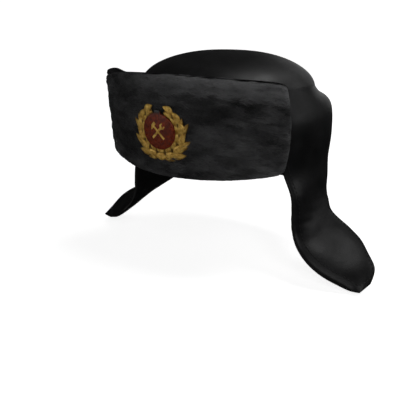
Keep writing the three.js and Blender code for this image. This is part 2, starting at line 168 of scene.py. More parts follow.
def through(table, t):
    """A smooth curve through the rows of a table at row number t, by Catmull and Rom's four-point mix."""
    last = len(table) - 1
    i = np.clip(np.floor(t).astype(int), 0, last - 1)
    f = (t - i)[..., None]
    p0, p1, p2, p3 = (table[np.clip(i + k, 0, last)] for k in (-1, 0, 1, 2))
    return p1 + 0.5 * f * (p2 - p0 + f * (2 * p0 - 5 * p1 + 4 * p2 - p3 + f * (3 * p1 - p0 - 3 * p2 + p3)))


# Meshes

def grid_quads(rows, cols, wrap=False, start=0):
    """Faces of a grid of rows by cols points, the last column joined to the first where it wraps."""
    r = np.arange(rows - 1)[:, None]
    c = np.arange(cols if wrap else cols - 1)[None, :]
    a, b = r * cols + c, r * cols + (c + 1) % cols
    return start + np.stack([a, b, b + cols, a + cols], axis=-1).reshape(-1, 4)


def give_attribute(mesh, key, values):
    """Stores one number for each point of a mesh under a name that a material reads."""
    mesh.attributes.new(key, "FLOAT", "POINT").data.foreach_set("value", np.asarray(values, np.float32))


def show_mesh(name, mesh, material):
    """An object at the origin that shows a mesh in a material."""
    mesh.materials.append(material)
    piece = bpy.data.objects.new(name, mesh)
    bpy.context.scene.collection.objects.link(piece)
    return piece


def make_piece(name, points, faces, material, tone=None, weld=0.0):
    """A Blender object from an array of points in millimetres and arrays of quads and triangles."""
    faces = [f for f in faces if len(f)]
    corners = np.concatenate([f.reshape(-1) for f in faces])
    totals = np.concatenate([np.full(len(f), f.shape[1]) for f in faces])
    mesh = bpy.data.meshes.new(name)
    mesh.vertices.add(len(points))
    mesh.vertices.foreach_set("co", (np.asarray(points, float) * MM).reshape(-1))
    mesh.loops.add(len(corners))
    mesh.loops.foreach_set("vertex_index", corners.astype(np.int32))
    mesh.polygons.add(len(totals))
    mesh.polygons.foreach_set("loop_start", np.concatenate([[0], np.cumsum(totals)[:-1]]).astype(np.int32))
    mesh.update(calc_edges=True)
    mesh.validate()
    for key, values in (tone or {}).items():
        give_attribute(mesh, key, values)
    if weld:
        work = bmesh.new()
        work.from_mesh(mesh)
        bmesh.ops.remove_doubles(work, verts=work.verts, dist=weld * MM)
        work.to_mesh(mesh)
        work.free()
    mesh.polygons.foreach_set("use_smooth", np.full(len(mesh.polygons), True))
    return show_mesh(name, mesh, material)


def read_points(mesh):
    """Places and normals of a mesh's points, in millimetres."""
    points = np.empty(len(mesh.vertices) * 3)
    mesh.vertices.foreach_get("co", points)
    normals = np.empty(len(mesh.vertices) * 3)
    mesh.vertex_normals.foreach_get("vector", normals)
    return points.reshape(-1, 3) / MM, normals.reshape(-1, 3)


def write_points(mesh, points):
    """Moves a mesh's points to an array of places in millimetres."""
    mesh.vertices.foreach_set("co", (points * MM).reshape(-1))
    mesh.update()


def subdivide(piece, levels):
    """Smooths a piece with Catmull and Clark's subdivision and keeps the result."""
    modifier = piece.modifiers.new("Smooth", "SUBSURF")
    modifier.levels = modifier.render_levels = levels
    graph = bpy.context.evaluated_depsgraph_get()
    mesh = bpy.data.meshes.new_from_object(piece.evaluated_get(graph), depsgraph=graph)
    piece.modifiers.clear()
    piece.data = mesh


def join_parts(parts):
    """One array of points and lists of quads and triangles from several (points, quads, triangles)."""
    points, quads, triangles, start = [], [], [], 0
    for part_points, part_quads, part_triangles in parts:
        points.append(part_points)
        quads.append(part_quads.reshape(-1, 4) + start)
        triangles.append(part_triangles.reshape(-1, 3) + start)
        start += len(part_points)
    return np.concatenate(points), np.concatenate(quads), np.concatenate(triangles)


def loft(rings):
    """A closed skin through an array of rings (rings, sides, 3), each end closed by a fan to its middle."""
    count, sides = rings.shape[:2]
    ends = np.stack([rings[0].mean(0), rings[-1].mean(0)])
    points = np.concatenate([rings.reshape(-1, 3), ends])
    i = np.arange(sides)
    first = np.stack([np.full(sides, count * sides), (i + 1) % sides, i], 1)
    base = (count - 1) * sides
    last = np.stack([np.full(sides, count * sides + 1), base + i, base + (i + 1) % sides], 1)
    return points, grid_quads(count, sides, wrap=True), np.concatenate([first, last])


def ride_and_replace(piece, slot, *nodes):
    """The piece moves with the hat and stands for the named nodes, which are hidden. The slot is not used."""
    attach(piece, "root")
    if nodes:
        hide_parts(*nodes)
    return piece


# Shapes of the hat

def oval(angle, a, b, y, n):
    """Plan oval |x/a|^n + |(y-y0)/b|^n = 1 at an angle, as its x and y."""
    power = 2 / n
    c, s = np.cos(angle), np.sin(angle)
    return a * np.sign(c) * np.abs(c) ** power, y + b * np.sign(s) * np.abs(s) ** power


def crown_oval(z, inset):
    """Half width, half length, middle and exponent of the crown's oval at a height."""
    t = smooth(z, CROWN["taper"], CROWN["dome"])
    return (lerp(CROWN["half_width"], CROWN["dome_half_width"], t) - inset,
            lerp(CROWN["half_length"], CROWN["dome_half_length"], t) - inset,
            CROWN["dome_y"] * t, lerp(CROWN["oval"], 2.0, t))


def crown_rings(inset, wall_rows, dome_rows, sides):
    """Rings from the rim to the top: an upright wall drawn in at the shoulder, then a superelliptic dome."""
    angle = round_turn(sides)[None, :]
    z = np.linspace(0, CROWN["dome"], wall_rows)[:, None]
    wall = stack(*oval(angle, *crown_oval(z, inset)), z)
    rise = np.linspace(0, math.pi / 2, dome_rows + 1)[1:, None]
    a, b, y, n = crown_oval(np.full_like(rise, CROWN["dome"]), inset)
    power = 2 / CROWN["fullness"]
    share = np.abs(np.cos(rise)) ** power
    share[-1] = 0
    height = CROWN["dome"] + (CROWN["top"] - CROWN["dome"] - inset) * np.sin(rise) ** power
    middle = lerp(y, CROWN["top_y"], np.sin(rise))
    dome = stack(*oval(angle, a * share, b * share, middle, n), height)
    return np.concatenate([wall, dome])


def skirt_angle(y):
    """The angle on the skirt's outer oval where it reaches y."""
    t = np.clip(y / SKIRT["half_length"], -1, 1)
    return np.arcsin(np.sign(t) * np.abs(t) ** (SKIRT["oval"] / 2))


def skirt_side(angle, z, across):
    """A point of the upright skirt, on an oval mixed from the crown's (across 0) and the outer one (1)."""
    inner = crown_oval(np.clip(z, 0, CROWN["dome"]), -GAP)
    drawn_in = SKIRT["taper"] * smooth(-z, -SKIRT["taper_from"], -SKIRT["taper_to"])
    outer = (SKIRT["half_width"] - drawn_in, SKIRT["half_length"] - drawn_in, 0, SKIRT["oval"])
    across = across - SKIRT["inner_share"] * drawn_in / SKIRT["taper"] * (1 - across)
    return stack(*oval(angle, *(lerp(low, high, across) for low, high in zip(inner, outer))), z)


def flap_edge(row, w):
    """Share of the full thickness near a flap's edges, which are rounded to about a sixth of it."""
    _, _, front, back, _, _ = np.moveaxis(through(FLAP_TABLE, row), -1, 0)
    width = back - front
    free = smooth(row, CROTCH - 0.2, CROTCH + 1.2)
    share = rounded(w * width, lerp(4, FLAP_ROUND, smooth(row, 1.2, 4.5)))
    share = share * lerp(1, rounded((1 - w) * width, FLAP_ROUND), free)
    share = share * rounded((FLAP_LAST - row) * 9, FLAP_ROUND)
    return 0.16 + 0.84 * share


def flap_side(row, w, side):
    """A point of a flap's outer (side 1) or inner (side -1) face: w runs from its front edge to its back.

    The table gives the middle line, and the face lies half the thickness off it, square to the line,
    less near the rounded edges and on the free flap, which is flatter inside than outside. Above the
    rim it turns softly into the upright skirt.
    """
    x, z, front, back, thick, tilt = np.moveaxis(through(FLAP_TABLE, row), -1, 0)
    ahead, behind = (through(FLAP_TABLE, np.clip(row + d, 0, FLAP_LAST)) for d in (0.05, -0.05))
    dx, dz = ahead[..., 0] - behind[..., 0], ahead[..., 1] - behind[..., 1]
    length = np.hypot(dx, dz)
    across = 2 * w - 1
    edge = flap_edge(row, w)
    flat = smooth(row, 5.8, 8.2) * (0.06 if side > 0 else 0.5)
    depth = side * edge * (1 - flat) * thick / 2 + tilt * across
    y = lerp(front, back, w)
    free = stack(x - dz / length * depth, y, z + dx / length * depth)
    upright = skirt_side(skirt_angle(y), z, (1 + side * edge) / 2)
    follow = smooth(z, -26, 10)[..., None]
    return lerp(free, upright, follow)


def behind_side(row, q, side):
    """A point of the skirt behind the flap: q runs from the flap's back edge to the middle of the back."""
    _, z, _, back, _, _ = np.moveaxis(through(FLAP_TABLE, row), -1, 0)
    start = skirt_angle(back)
    edge = lerp(1, 0.22 + 0.78 * rounded(z + 44.2, 5), smooth(q, 0, 0.16))
    place = skirt_side(lerp(start, math.pi / 2, q), z, (1 + side * edge) / 2)
    root = skirt_side(start, z, (1 + side) / 2)
    step = flap_side(row, np.ones_like(row), side) - root
    return place + step * (1 - smooth(q, 0, 0.14))[..., None]


def skirt_sheet(side):
    """The +X half of the skirt with its flap, as two grids: shoulder to lower edge, and the free flap."""
    w = eased(17)
    q = np.linspace(0, 1, 25)[1:] ** 1.3
    shoulder_across, fore, aft = SHOULDER.T[..., None]
    front, back = FLAP_TABLE[0, 2:4]
    beside, behind = skirt_angle(lerp(front, back, w)), lerp(skirt_angle(back), math.pi / 2, q)
    top_angle = np.concatenate([beside, behind])[None, :]
    shoulder_z = lerp(fore, aft, smooth(np.sin(top_angle), 0.1, 0.75))
    front_edge = flap_edge(np.zeros(1), np.concatenate([w, np.ones(len(q))]))[None, :]
    sheet = (1 + side * front_edge) / 2
    sheet = sheet * shoulder_across if side > 0 else sheet + np.minimum(shoulder_across, 0)
    shoulder = skirt_side(top_angle, shoulder_z, sheet)
    if side < 0:
        shoulder[..., 2] -= 0.6
    row = CROTCH * (1 - (1 - np.linspace(0, 1, 20)) ** 1.5)[:, None]
    lower = np.concatenate([flap_side(row, w, side), behind_side(row, q, side)], axis=1)
    tip_rows = FLAP_LAST - np.array([0.8, 0.5, 0.25, 0.08, 0])
    free_row = np.concatenate([np.linspace(CROTCH, FLAP_LAST - 1.1, 17), tip_rows])[:, None]
    return np.concatenate([shoulder, lower]), flap_side(free_row, w, side)


def skirt_solid():
    """Both halves welded into one closed shell: outer sheet, inner sheet and the rim between them.

    The rim joins the edges that only one face of the outer sheet uses. The last array is each point's
    distance from the open border.
    """
    sheets = []
    for side in (1, -1):
        upper, free = skirt_sheet(side)
        half = np.concatenate([upper.reshape(-1, 3), free.reshape(-1, 3)])
        mirrored = half * (-1, 1, 1)
        mirrored[:, 2] += LIFT_RIGHT * smooth(np.abs(half[:, 0]), 122, 178)
        sheets.append(np.concatenate([half, mirrored]))
    rows, cols = upper.shape[:2]
    free_rows, free_cols = free.shape[:2]
    half_quads = np.concatenate([
        grid_quads(rows, cols), grid_quads(free_rows, free_cols, start=rows * cols)])[:, ::-1]
    count = rows * cols + free_rows * free_cols
    quads = np.concatenate([half_quads, half_quads[:, ::-1] + count])
    _, keep, same = np.unique(np.round(sheets[0], 3), axis=0, return_index=True, return_inverse=True)
    quads = same.reshape(-1)[quads]
    outer, inner = sheets[0][keep], sheets[1][keep]
    edges = np.concatenate([quads[:, [k, (k + 1) % 4]] for k in range(4)])
    key = edges[:, 0] * len(outer) + edges[:, 1]
    free_edge = edges[~np.isin(key, edges[:, 1] * len(outer) + edges[:, 0])]
    here, there = free_edge.T
    rim = np.stack([there, here, here + len(outer), there + len(outer)], 1)
    border = outer[np.unique(free_edge)]
    border = border[border[:, 2] < SKIRT["border_top"]]
    inset = np.sqrt(((outer[:, None] - border[None]) ** 2).sum(-1)).min(1)
    faces = np.concatenate([quads, quads[:, ::-1] + len(outer), rim])
    return np.concatenate([outer, inner]), faces, np.concatenate([inset, inset])


def visor_arc(z):
    """Radius of the visor's plan arc at a height, growing with it, and y of its middle, leaning forward."""
    radius = VISOR["radius"] + VISOR["flare"] * z
    return radius, VISOR["front"] - VISOR["lean"] * z + radius


def visor_place(angle, depth, z):
    """A point of the visor: at an angle on its plan arc, depth in from its face, and at a height."""
    radius, middle = visor_arc(z)
    reach = radius - depth
    return stack(reach * np.sin(angle), middle - reach * np.cos(angle), z)


def visor_stations(count):
    """Lengths along the visor, even but close together at its ends, as a column."""
    near_end = np.array([0.05, 0.5, 1.3, 2.4])
    even = np.linspace(4, VISOR_LENGTH - 4, count)
    return np.concatenate([near_end, even, VISOR_LENGTH - near_end[::-1]])[:, None]


def visor_edges(s):
    """Share off the middle, distance from the end, and heights of the top and lower edges at a length.

    Both edges follow the square of the share, and their corners are quarter circles.
    """
    off = 2 * s / VISOR_LENGTH - 1
    end = np.minimum(s, VISOR_LENGTH - s)
    corner = lambda reach: reach * (1 - rounded(end, reach))
    top = VISOR["top"] - VISOR["top_drop"] * off**2 - corner(VISOR["top_corner"])
    low = VISOR["low"] + VISOR["low_rise"] * off**2 + corner(VISOR["low_corner"])
    return off, end, top, low


def visor_point(s, z, depth):
    """A point at a length along the visor and a height, its ends swelling outward at half height."""
    off, _, top, low = visor_edges(s)
    height = np.clip((z - low) / (top - low), 0, 1)
    return visor_place(off * VISOR["arc"] * (1 + VISOR["bulge"] * 4 * height * (1 - height)), depth, z)


def visor_face_depth(s, z):
    """Depth of the front face, which is rounded off towards every edge."""
    off, end, top, low = visor_edges(s)
    middle = lerp(VISOR["thick"], VISOR["end_thick"], off**4) / 2
    edge = VISOR["edge"]
    over = np.clip(np.maximum(z - (top - edge), (low + edge) - z) / edge, 0, 1)
    return middle - middle * rounded(end, edge) * np.sqrt(1 - over**2)


def fur_lean(s, z):
    """How far the pile leans back towards the visor's top edge, on a quarter circle, and at its ends."""
    off, _, top, _ = visor_edges(s)
    ends = smooth(np.abs(off), 0.8, 1)
    over = 1 - rounded(np.clip(top - z, 0, None), PILE["lean_high"])
    return PILE["lean"] * over * (1 - 0.8 * ends) + PILE["end_lean"] * ends


def fur_relief(s, z):
    """Height of the pile's locks: two layers of soft noise drawn out sideways."""
    broad = soft_noise(s / 15, z / 4.4, 11)
    fine = soft_noise(s / 6.5 + 40, z / 1.9, 12)
    return 1.5 * broad + 0.7 * fine


def fur_tone_and_painted_light(s, z):
    """Lightness of the pile from 0 to 1: streaks over patches, with painted light on the top edge and one
    side.

    Streaks are about 12 by 3 mm and patches about 38 by 15 mm. The painted highlight strip along the top
    is 11 to 19 mm high and fades out towards the wearer's right. Painted side light makes the whole pile
    lighter towards the wearer's left.
    """
    streaks = smooth(soft_noise(s / 12 + 0.2 * np.sin(z / 7), z / 3.4, 31), 0.2, 0.8)
    patches = smooth(soft_noise(s / 38 + 7, z / 15 + 3, 32), 0.2, 0.8)
    off, _, top, _ = visor_edges(np.clip(s, 0.1, VISOR_LENGTH - 0.1))
    down = top - z
    # Painted highlight: hair within about 19 mm of the top edge is made lighter, more so towards the wearer's
    # left
    strip = (1 - smooth(down, 11, 19)) * (0.2 + 0.8 * smooth(off, -0.4, 0.3))
    painted_top_highlight = strip * (0.8 + 0.3 * smooth(down, 2, 8))
    # Painted side light: the pile is made lighter towards the wearer's left, where the light comes from
    painted_side_light = 0.75 + 0.35 * smooth(off, -0.5, 0.5)
    return np.clip((0.38 * streaks + 0.2 * patches) * painted_side_light + 0.84 * painted_top_highlight, 0, 1)


def bend(points):
    """Flat badge points, x across, y up and z out, laid on the visor's curved front."""
    height = BADGE["z"] + points[..., 1]
    return visor_place(points[..., 0] / visor_arc(height)[0], -(GAP + points[..., 2]), height)


def ellipse_reach(angle, a, b):
    """Reach of an ellipse of half axes a and b from its middle: a b / hypot(b cos, a sin)."""
    return a * b / np.hypot(b * np.cos(angle), a * np.sin(angle))


def field_reach(angle, grow):
    """Reach of the oval field from its middle, with a short tab at the top."""
    a, b = BADGE["disc_half_width"] + grow, BADGE["disc_half_height"] + grow
    top = b + BADGE["tab_high"]
    sine = np.sin(angle)
    in_tab = (sine > 0) & (np.abs(np.cos(angle)) * top < (BADGE["tab_half"] + grow) * sine)
    return np.where(in_tab, top / np.where(in_tab, sine, 1), ellipse_reach(angle, a, b))


def plate_reach(angle):
    """Reach of the badge's back plate, open between the tips of the wreath."""
    opening = BADGE["opening"]
    from_top = np.abs(np.arctan2(np.cos(angle), np.sin(angle)))
    branches = ellipse_reach(angle, BRANCH["half_width"], BRANCH["half_height"])
    wreath = branches + lerp(0.6, 2.2, smooth(from_top, opening, 2))
    return np.where(from_top < opening, field_reach(angle, -0.4), wreath)


def round_plate(reach, rows, sides=144):
    """A closed plate: each row gives a ring's share of the reach, inset and height, from bottom to top."""
    angle = round_turn(sides)
    far = reach(angle)
    rings = [stack((far * share - inset) * np.cos(angle), (far * share - inset) * np.sin(angle), level)
             for share, inset, level in rows]
    points, quads, triangles = loft(np.stack(rings))
    return bend(points), quads, triangles


def branch_point(side, t):
    """Middle line of one branch of the wreath, an arc of an ellipse from the foot to the tip."""
    angle = np.radians(lerp(BRANCH["foot"], BRANCH["tip"], t))
    return np.array([side * BRANCH["half_width"] * np.cos(angle),
                     BRANCH["rise"] + BRANCH["half_height"] * np.sin(angle)])


def leaf_part(x, y, heading, length, width, base, curl):
    """One leaf: its width follows sin(pi u^0.75), its top is crowned with a groove for the midrib."""
    u = np.linspace(0, 1, 13)[:, None]
    half = 0.5 * width * np.sin(math.pi * u**0.75) ** 0.8
    half = np.maximum(half, 0.06)
    v = np.linspace(-1, 1, 9)[None, :]
    crown = 0.95 * (1 - v**2) - 0.4 * np.exp(-((v / 0.16) ** 2))
    veins = 0.12 * np.cos(TAU * (u * 7 - np.abs(v) * 1.6)) * (1 - np.abs(v)) * np.abs(v) * 2
    rise = np.sin(math.pi * np.clip(u, 0.03, 0.97)) ** 0.5
    top = base + 0.75 + (crown + veins) * rise
    bend_off = curl * (u - 0.5) ** 2 * length
    along = np.concatenate([u * length + 0 * v, (u * length + 0 * v)[:, ::-1][:, [0, -1]]], axis=1)
    off = np.concatenate([half * v, half * v[:, ::-1][:, [0, -1]]], axis=1) + bend_off
    level = np.concatenate([top, np.full((len(u), 2), base)], axis=1)
    c, s = math.cos(heading), math.sin(heading)
    rings = stack(x + along * c - off * s, y + along * s + off * c, level)
    points, quads, triangles = loft(rings[:, ::-1])
    return bend(points), quads, triangles


# Rows of leaves on a branch: the span they take, their turn at foot and tip, place off the line, and size
LEAF_ROWS = (
    {"span": (0.03, 0.92), "turn": (-24, -6), "off": -2.3, "lift": -0.25, "length": 10.5, "width": 6.0},
    {"span": (0.0, 0.95), "turn": (12, 6), "off": 0.9, "lift": 0.1, "length": 12.5, "width": 7.2},
)
LEAVES_IN_ROW = 7
# Leaves that stand out of the wreath's lower two thirds: foot x, y, tip x, y and width
SPREAD_LEAVES = (
    (22.0, -3.0, 34.2, 9.6, 7.4), (20.0, -15.5, 35.0, -6.8, 8.2), (11.5, -22.0, 29.4, -20.8, 8.0),
    (1.0, -23.4, 17.5, -27.0, 6.4), (24.0, 3.0, 27.4, 14.5, 5.0), (21.0, -10.0, 30.6, 0.4, 6.0),
    (16.0, -19.0, 28.8, -14.2, 6.0),
)


def wreath_parts():
    """Every leaf of both branches, with its foot half a length back from its place on the branch."""
    parts = []
    base = BADGE["plate"] - 0.5
    for side in (-1, 1):
        for number, (x, y, tip_x, tip_y, width) in enumerate(SPREAD_LEAVES):
            run = np.array([side * (tip_x - x), tip_y - y])
            level = base - 0.5 + 0.12 * (number % 3)
            heading = math.atan2(run[1], run[0])
            parts.append(leaf_part(side * x, y, heading, np.hypot(*run), width, level, curl=side * 0.2))
        for row in LEAF_ROWS:
            for share in np.linspace(0, 1, LEAVES_IN_ROW):
                t = lerp(*row["span"], share)
                here = branch_point(side, t)
                step = branch_point(side, t + 0.01) - branch_point(side, t - 0.01)
                step /= np.hypot(*step)
                heading = math.atan2(step[1], step[0]) - side * math.radians(lerp(*row["turn"], share))
                x, y = here + here / np.hypot(*here) * row["off"] - step * row["length"] / 2
                parts.append(leaf_part(x, y, heading, row["length"], row["width"], base + row["lift"],
                                       curl=side * 0.3))
    return parts


def prism_part(outline, turn, low, high, bevel=0.35):
    """A flat tool with chamfered edges: its outline at three heights, the top one drawn in."""
    outline = np.array(outline, float)
    c, s = math.cos(turn), math.sin(turn)
    after, before = np.roll(outline, -1, 0), np.roll(outline, 1, 0)
    edge_in = lambda d: np.stack([-d[:, 1], d[:, 0]], 1) / np.linalg.norm(d, axis=1)[:, None]
    n1, n2 = edge_in(outline - before), edge_in(after - outline)
    inward = (n1 + n2) / (1 + (n1 * n2).sum(1))[:, None]
    levels = [(0, low), (0, high - bevel), (bevel * 0.8, high)]
    rings = np.stack([np.concatenate([outline + inward * inset, np.full((len(outline), 1), level)], 1)
                      for inset, level in levels])
    x, y = rings[..., 0] * c - rings[..., 1] * s, rings[..., 0] * s + rings[..., 1] * c
    return bend(stack(x, y, rings[..., 2]))


HAMMER = [(-1.2, -9.6), (1.2, -9.6), (1.2, 6), (3.6, 6), (3.6, 9.4),
          (-1.2, 9.4), (-4.6, 7.2), (-4.6, 6), (-1.2, 6)]
SPANNER = [(1.2, -9.6), (1.2, 4.4), (3, 6.4), (2.6, 9.4), (1.2, 9.4), (1.2, 7.2),
           (-1.2, 7.2), (-1.2, 9.4), (-2.6, 9.4), (-3, 6.4), (-1.2, 4.4), (-1.2, -9.6)]
TOOL_TURN = math.radians(46)


# Shader node groups

SOCKETS = {1: "NodeSocketFloat", 3: "NodeSocketVector", 4: "NodeSocketColor"}


def opaque(colour):
    """A colour of three numbers as four."""
    return (*colour, 1.0)


def new_group(name, inputs, outputs):
    """An empty node group, the sockets that bring its inputs in, and those that take its outputs out.

    Inputs give each socket's default, and outputs how many numbers a socket carries: 1, 3 or 4.
    """
    group = bpy.data.node_groups.new(name, "ShaderNodeTree")
    for label, default in inputs.items():
        kind = SOCKETS[np.size(default)]
        socket = group.interface.new_socket(name=label, in_out="INPUT", socket_type=kind)
        socket.default_value = default
    for label, size in outputs.items():
        group.interface.new_socket(name=label, in_out="OUTPUT", socket_type=SOCKETS[size])
    return group, group.nodes.new("NodeGroupInput").outputs, group.nodes.new("NodeGroupOutput").inputs


def add_node(tree, kind, inputs=None, **settings):
    """The outputs of a new node, whose inputs are fixed values or the outputs of other nodes."""
    node = tree.nodes.new("ShaderNode" + kind)
    for key, value in settings.items():
        setattr(node, key, value)
    for key, value in (inputs or {}).items():
        if isinstance(value, bpy.types.NodeSocket):
            tree.links.new(value, node.inputs[key])
        else:
            node.inputs[key].default_value = value
    return node.outputs


def tone_group():
    """Colour variation: two octaves of noise choose between a dark and a light colour."""
    inputs = {"Dark": opaque((0, 0, 0)), "Light": opaque((1, 1, 1)), "Scale": 20.0, "Stretch": (1, 1, 1),
              "Low": 0.35, "High": 0.65}
    group, enter, leave = new_group("Tone", inputs, {"Colour": 4, "Mask": 1})
    where = add_node(group, "TexCoord")["Object"]
    drawn_out = add_node(group, "VectorMath", {0: where, 1: enter["Stretch"]}, operation="MULTIPLY")[0]
    noise = add_node(group, "TexNoise", {
        "Vector": drawn_out, "Scale": enter["Scale"], "Detail": 3.0, "Roughness": 0.6})["Fac"]
    mask = add_node(group, "MapRange", {
        "Value": noise, "From Min": enter["Low"], "From Max": enter["High"]})[0]
    group.links.new(choose(group, mask, enter["Dark"], enter["Light"]), leave["Colour"])
    group.links.new(mask, leave["Mask"])
    return group


def grain_group():
    """Leather grain: small rounded pebbles between creases, broken up by fine noise, as one height."""
    group, enter, leave = new_group("Grain", {"Scale": 900.0, "Creases": 0.5}, {"Height": 1})
    where = add_node(group, "TexCoord")["Object"]
    warp = add_node(group, "TexNoise", {"Vector": where, "Scale": 260.0, "Detail": 2.0})["Color"]
    warped = add_node(group, "VectorMath", {0: warp, 1: (0.0012, 0.0012, 0.0012), 2: where},
                      operation="MULTIPLY_ADD")[0]
    pebbles = add_node(group, "TexVoronoi", {
        "Vector": warped, "Scale": enter["Scale"], "Smoothness": 0.35}, feature="SMOOTH_F1")["Distance"]
    creases = add_node(group, "TexNoise", {
        "Vector": where, "Scale": 70.0, "Detail": 4.0, "Roughness": 0.65})["Fac"]
    height = add_node(group, "Mix", {"Factor": enter["Creases"], "A": pebbles, "B": creases})["Result"]
    group.links.new(height, leave["Height"])
    return group


def wear_group():
    """Edge wear: an attribute that is 1 on raised edges, broken up by noise, as a mask."""
    group, enter, leave = new_group("Wear", {"Edge": 0.0, "Scale": 90.0, "Amount": 0.5}, {"Mask": 1})
    where = add_node(group, "TexCoord")["Object"]
    noise = add_node(group, "TexNoise", {
        "Vector": where, "Scale": enter["Scale"], "Detail": 5.0, "Roughness": 0.7})["Fac"]
    broken = add_node(group, "Math", {0: noise, 1: enter["Edge"]}, operation="MULTIPLY")[0]
    spread = add_node(group, "MapRange", {"Value": broken, "From Min": 0.28, "From Max": 0.62})[0]
    mask = add_node(group, "Math", {0: spread, 1: enter["Amount"]}, operation="MULTIPLY")[0]
    group.links.new(mask, leave["Mask"])
    return group


def place_group(tree, name, builder, **inputs):
    """The outputs of one use of a shared group, with its own inputs. The group is built once."""
    return add_node(tree, "Group", inputs, node_tree=bpy.data.node_groups.get(name) or builder())


def tones(tree, dark, light, scale, **more):
    """A colour that varies between a dark and a light one over the surface."""
    return place_group(tree, "Tone", tone_group, Dark=opaque(dark), Light=opaque(light), Scale=scale,
                       **more)["Colour"]


def grain(tree, scale, creases):
    """The height of the shared grain, from pebbles at creases 0 to folds at 1."""
    return place_group(tree, "Grain", grain_group, Scale=scale, Creases=creases)["Height"]


def attribute(tree, name):
    """A number that the piece stores for each of its points."""
    return add_node(tree, "Attribute", attribute_name=name)["Fac"]


def choose(tree, factor, a, b, **settings):
    """Colour a where the factor is 0 and colour b where it is 1."""
    inputs = {"Factor": factor, "A": a, "B": b}
    return add_node(tree, "Mix", inputs, data_type="RGBA", **settings)["Result"]


# Materials

def start_material(name, **values):
    """The named material, and where it is new its node tree and its shader with their fixed values."""
    material = bpy.data.materials.get(name)
    if material:
        return material, None, None
    material = bpy.data.materials.new(name)
    material.use_nodes = True
    shader = material.node_tree.nodes["Principled BSDF"]
    for key, value in values.items():
        shader.inputs[key.replace("_", " ")].default_value = value
    return material, material.node_tree, shader


def finish_surface(tree, shader, colour, roughness, height, bump):
    """Joins colour, uneven roughness (low, high, scale) and a bump (strength, distance) to the shader."""
    low, high, scale = roughness
    strength, distance = bump
    rough = tones(tree, (low, low, low), (high, high, high), scale)
    normal = add_node(tree, "Bump", {"Strength": strength, "Distance": distance, "Height": height})["Normal"]
    for key, value in (("Base Color", colour), ("Roughness", rough), ("Normal", normal)):
        tree.links.new(value, shader.inputs[key])


def hat_settings():
    """The hat's settings in the current scene."""
    return bpy.context.scene.winter_hat


def black_leather(name="Black leather", shine=0.45, gloss=(0.42, 0.54)):
    """Smooth black leather: fine grain, faint creases, softly uneven gloss, dull worn edges."""
    material, tree, shader = start_material(name, IOR=1.46, Specular_IOR_Level=shine)
    if tree:
        hat = hat_settings()
        edge = attribute(tree, "edge")
        worn = place_group(tree, "Wear", wear_group, Edge=edge, Scale=160.0, Amount=0.55)["Mask"]
        dyed = tones(tree, hat.leather_dark, hat.leather_light, 38.0)
        colour = choose(tree, worn, dyed, opaque((0.014, 0.013, 0.012)))
        finish_surface(tree, shader, colour, (*gloss, 55.0), grain(tree, 950.0, 0.45), (0.32, 0.0004))
    return material


def soft_leather():
    """The softer, duller leather of the skirt and its flaps."""
    return black_leather("Soft black leather", 0.18, (0.36, 0.46))


def flesh_side():
    """The rough inner side of the leather: matt, mottled and fibrous."""
    material, tree, shader = start_material("Leather flesh side", Specular_IOR_Level=0.2, Sheen_Weight=0.15)
    if tree:
        colour = tones(tree, (0.014, 0.013, 0.012), (0.03, 0.028, 0.026), 60.0)
        finish_surface(tree, shader, colour, (0.75, 0.92, 140.0), grain(tree, 1500.0, 0.7), (0.5, 0.0005))
    return material


def charcoal_fur():
    """Clipped charcoal fur: each hair's tone, which holds painted light, mixed with soft patches drawn out
    sideways.
    """
    material, tree, shader = start_material("Charcoal fur", Specular_IOR_Level=0.35)
    if tree:
        hat = hat_settings()
        pile = choose(tree, attribute(tree, "tone"), opaque(hat.fur_dark), opaque(hat.fur_light))
        patches = tones(tree, (0.6, 0.6, 0.61), (1, 1, 1), 60.0,
                        Stretch=(0.45, 0.6, 1.3), Low=0.38, High=0.62)
        colour = choose(tree, 1.0, pile, patches, blend_type="MULTIPLY")
        finish_surface(tree, shader, colour, (0.5, 0.74, 240.0), grain(tree, 1800.0, 0.6), (0.2, 0.0002))
    return material


def aged_gilt():
    """Pressed gilt metal: dull gold on the raised parts, brown in the hollows, fine scratches and pits."""
    material, tree, shader = start_material("Aged gilt", Metallic=0.5, Specular_IOR_Level=0.5)
    if tree:
        hat = hat_settings()
        gold = tones(tree, hat.gilt_dark, hat.gilt_light, 260.0)
        colour = choose(tree, attribute(tree, "relief"), opaque((0.05, 0.028, 0.008)), gold)
        finish_surface(tree, shader, colour, (0.32, 0.52, 500.0), grain(tree, 1600.0, 0.8), (0.25, 0.0002))
    return material


def red_enamel():
    """Dark red fired enamel: clouded colour under a thin clear coat, black in its tab."""
    material, tree, shader = start_material(
        "Red enamel", Coat_Weight=0.1, Coat_Roughness=0.25, Specular_IOR_Level=0.25)
    if tree:
        hat = hat_settings()
        red = tones(tree, hat.enamel_dark, hat.enamel_light, 330.0)
        colour = choose(tree, attribute(tree, "tab"), red, opaque((0.012, 0.011, 0.01)))
        finish_surface(tree, shader, colour, (0.25, 0.45, 420.0), grain(tree, 700.0, 0.9), (0.12, 0.0003))
    return material


def nickelled_steel():
    """Plain steel: grey with finely uneven polish."""
    material, tree, shader = start_material("Nickelled steel", Metallic=1.0)
    if tree:
        colour = tones(tree, (0.2, 0.19, 0.18), (0.36, 0.35, 0.34), 300.0)
        finish_surface(tree, shader, colour, (0.3, 0.5, 900.0), grain(tree, 2600.0, 0.85), (0.15, 0.0001))
    return material


